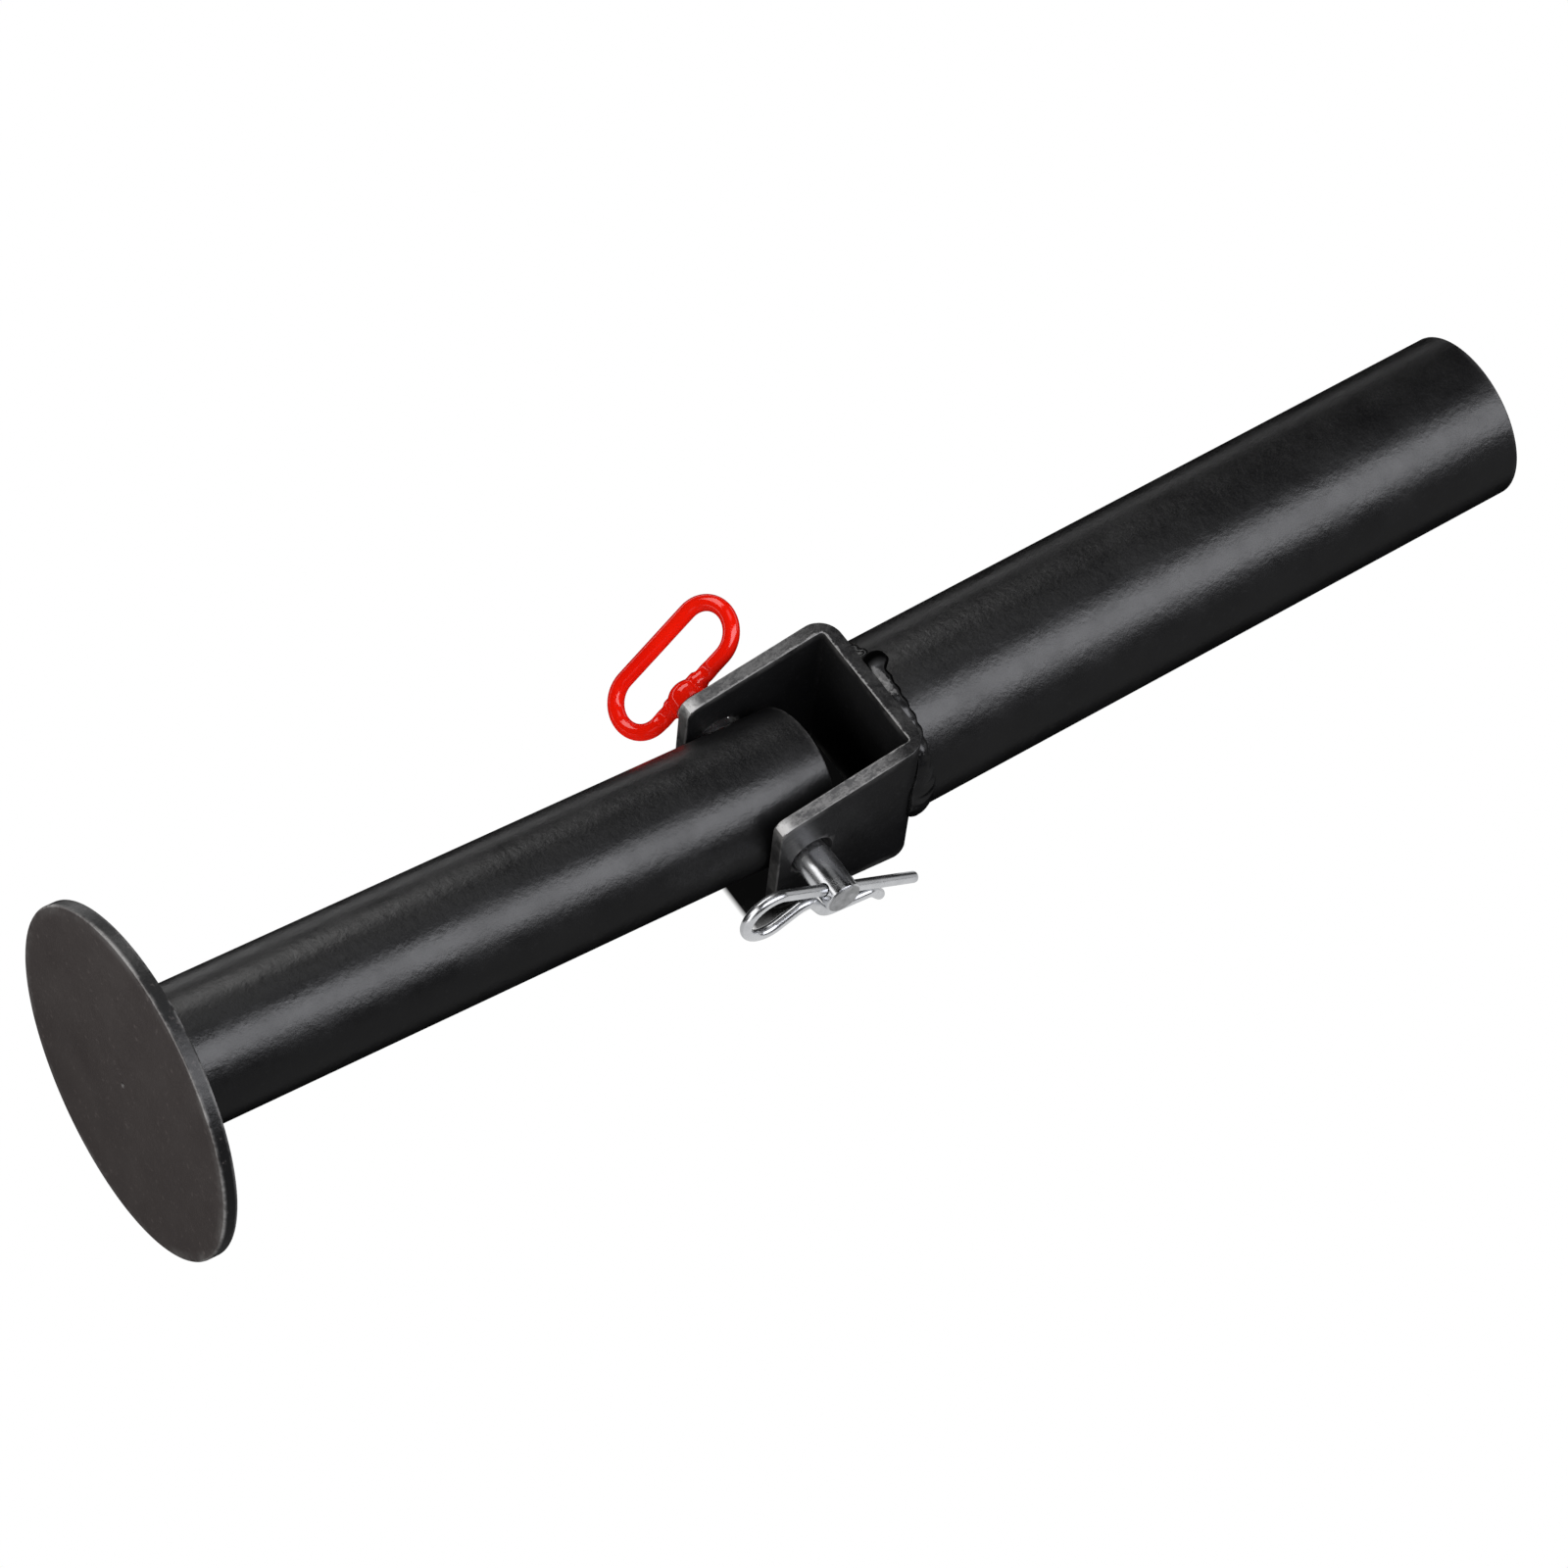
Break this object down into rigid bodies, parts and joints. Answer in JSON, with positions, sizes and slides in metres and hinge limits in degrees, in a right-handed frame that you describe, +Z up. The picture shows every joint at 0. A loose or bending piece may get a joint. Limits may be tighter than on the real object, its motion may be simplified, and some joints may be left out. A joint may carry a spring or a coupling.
{
  "type": "barbell pivot attachment",
  "caption": "Black barbell pivot with a disc-footed post, a clevis on a plated hitch pin with a red loop handle and a hairpin clip, and a welded bar sleeve.",
  "frame": {"origin": "middle of the bounding box's underside: the part lies on the floor at z = 0, on the disc's rim, the foot of the clevis web and the sleeve's far end", "axes": "+X along the part from the disc to the sleeve's mouth, +Y along the hitch pin to its red handle, +Z up"},
  "size_m": [0.5412, 0.1278, 0.1195],
  "materials": {
    "black_powder_coat": "satin black powder coat on steel",
    "disc_powder_coat": "satin brownish black powder coat on steel",
    "coated_weld": "weld bead under the powder coat",
    "bright_zinc": "bright zinc plated steel",
    "red_coating": "glossy red dip coating on a steel rod"
  },
  "bodies": {
    "post": {"base_disc": "disc_powder_coat", "disc_weld": "coated_weld", "post_tube": "black_powder_coat"},
    "sleeve": {"clevis_bracket": "black_powder_coat", "sleeve_weld": "coated_weld", "sleeve_tube": "black_powder_coat"},
    "pin": {"hitch_pin": "bright_zinc", "pin_handle": "red_coating"},
    "clip": {"hairpin_clip": "bright_zinc"}
  },
  "joints": [
    {"name": "sleeve_pivot", "type": "hinge", "parent": "post", "child": "sleeve", "pos_m": [-0.02423, -0.0039, 0.03118], "axis": [0, 1, 0], "range_deg": [-105.5, 118.8]},
    {"name": "pin_slide", "type": "slide", "parent": "sleeve", "child": "pin", "axis": [0, 1, 0], "range_m": [-0.0091, 0.012]},
    {"name": "clip_pull", "type": "slide", "parent": "pin", "child": "clip", "axis": [-0.8412, 0, 0.5407], "range_m": [0, 0.048], "deforming": ["hairpin_clip"]}
  ]
}
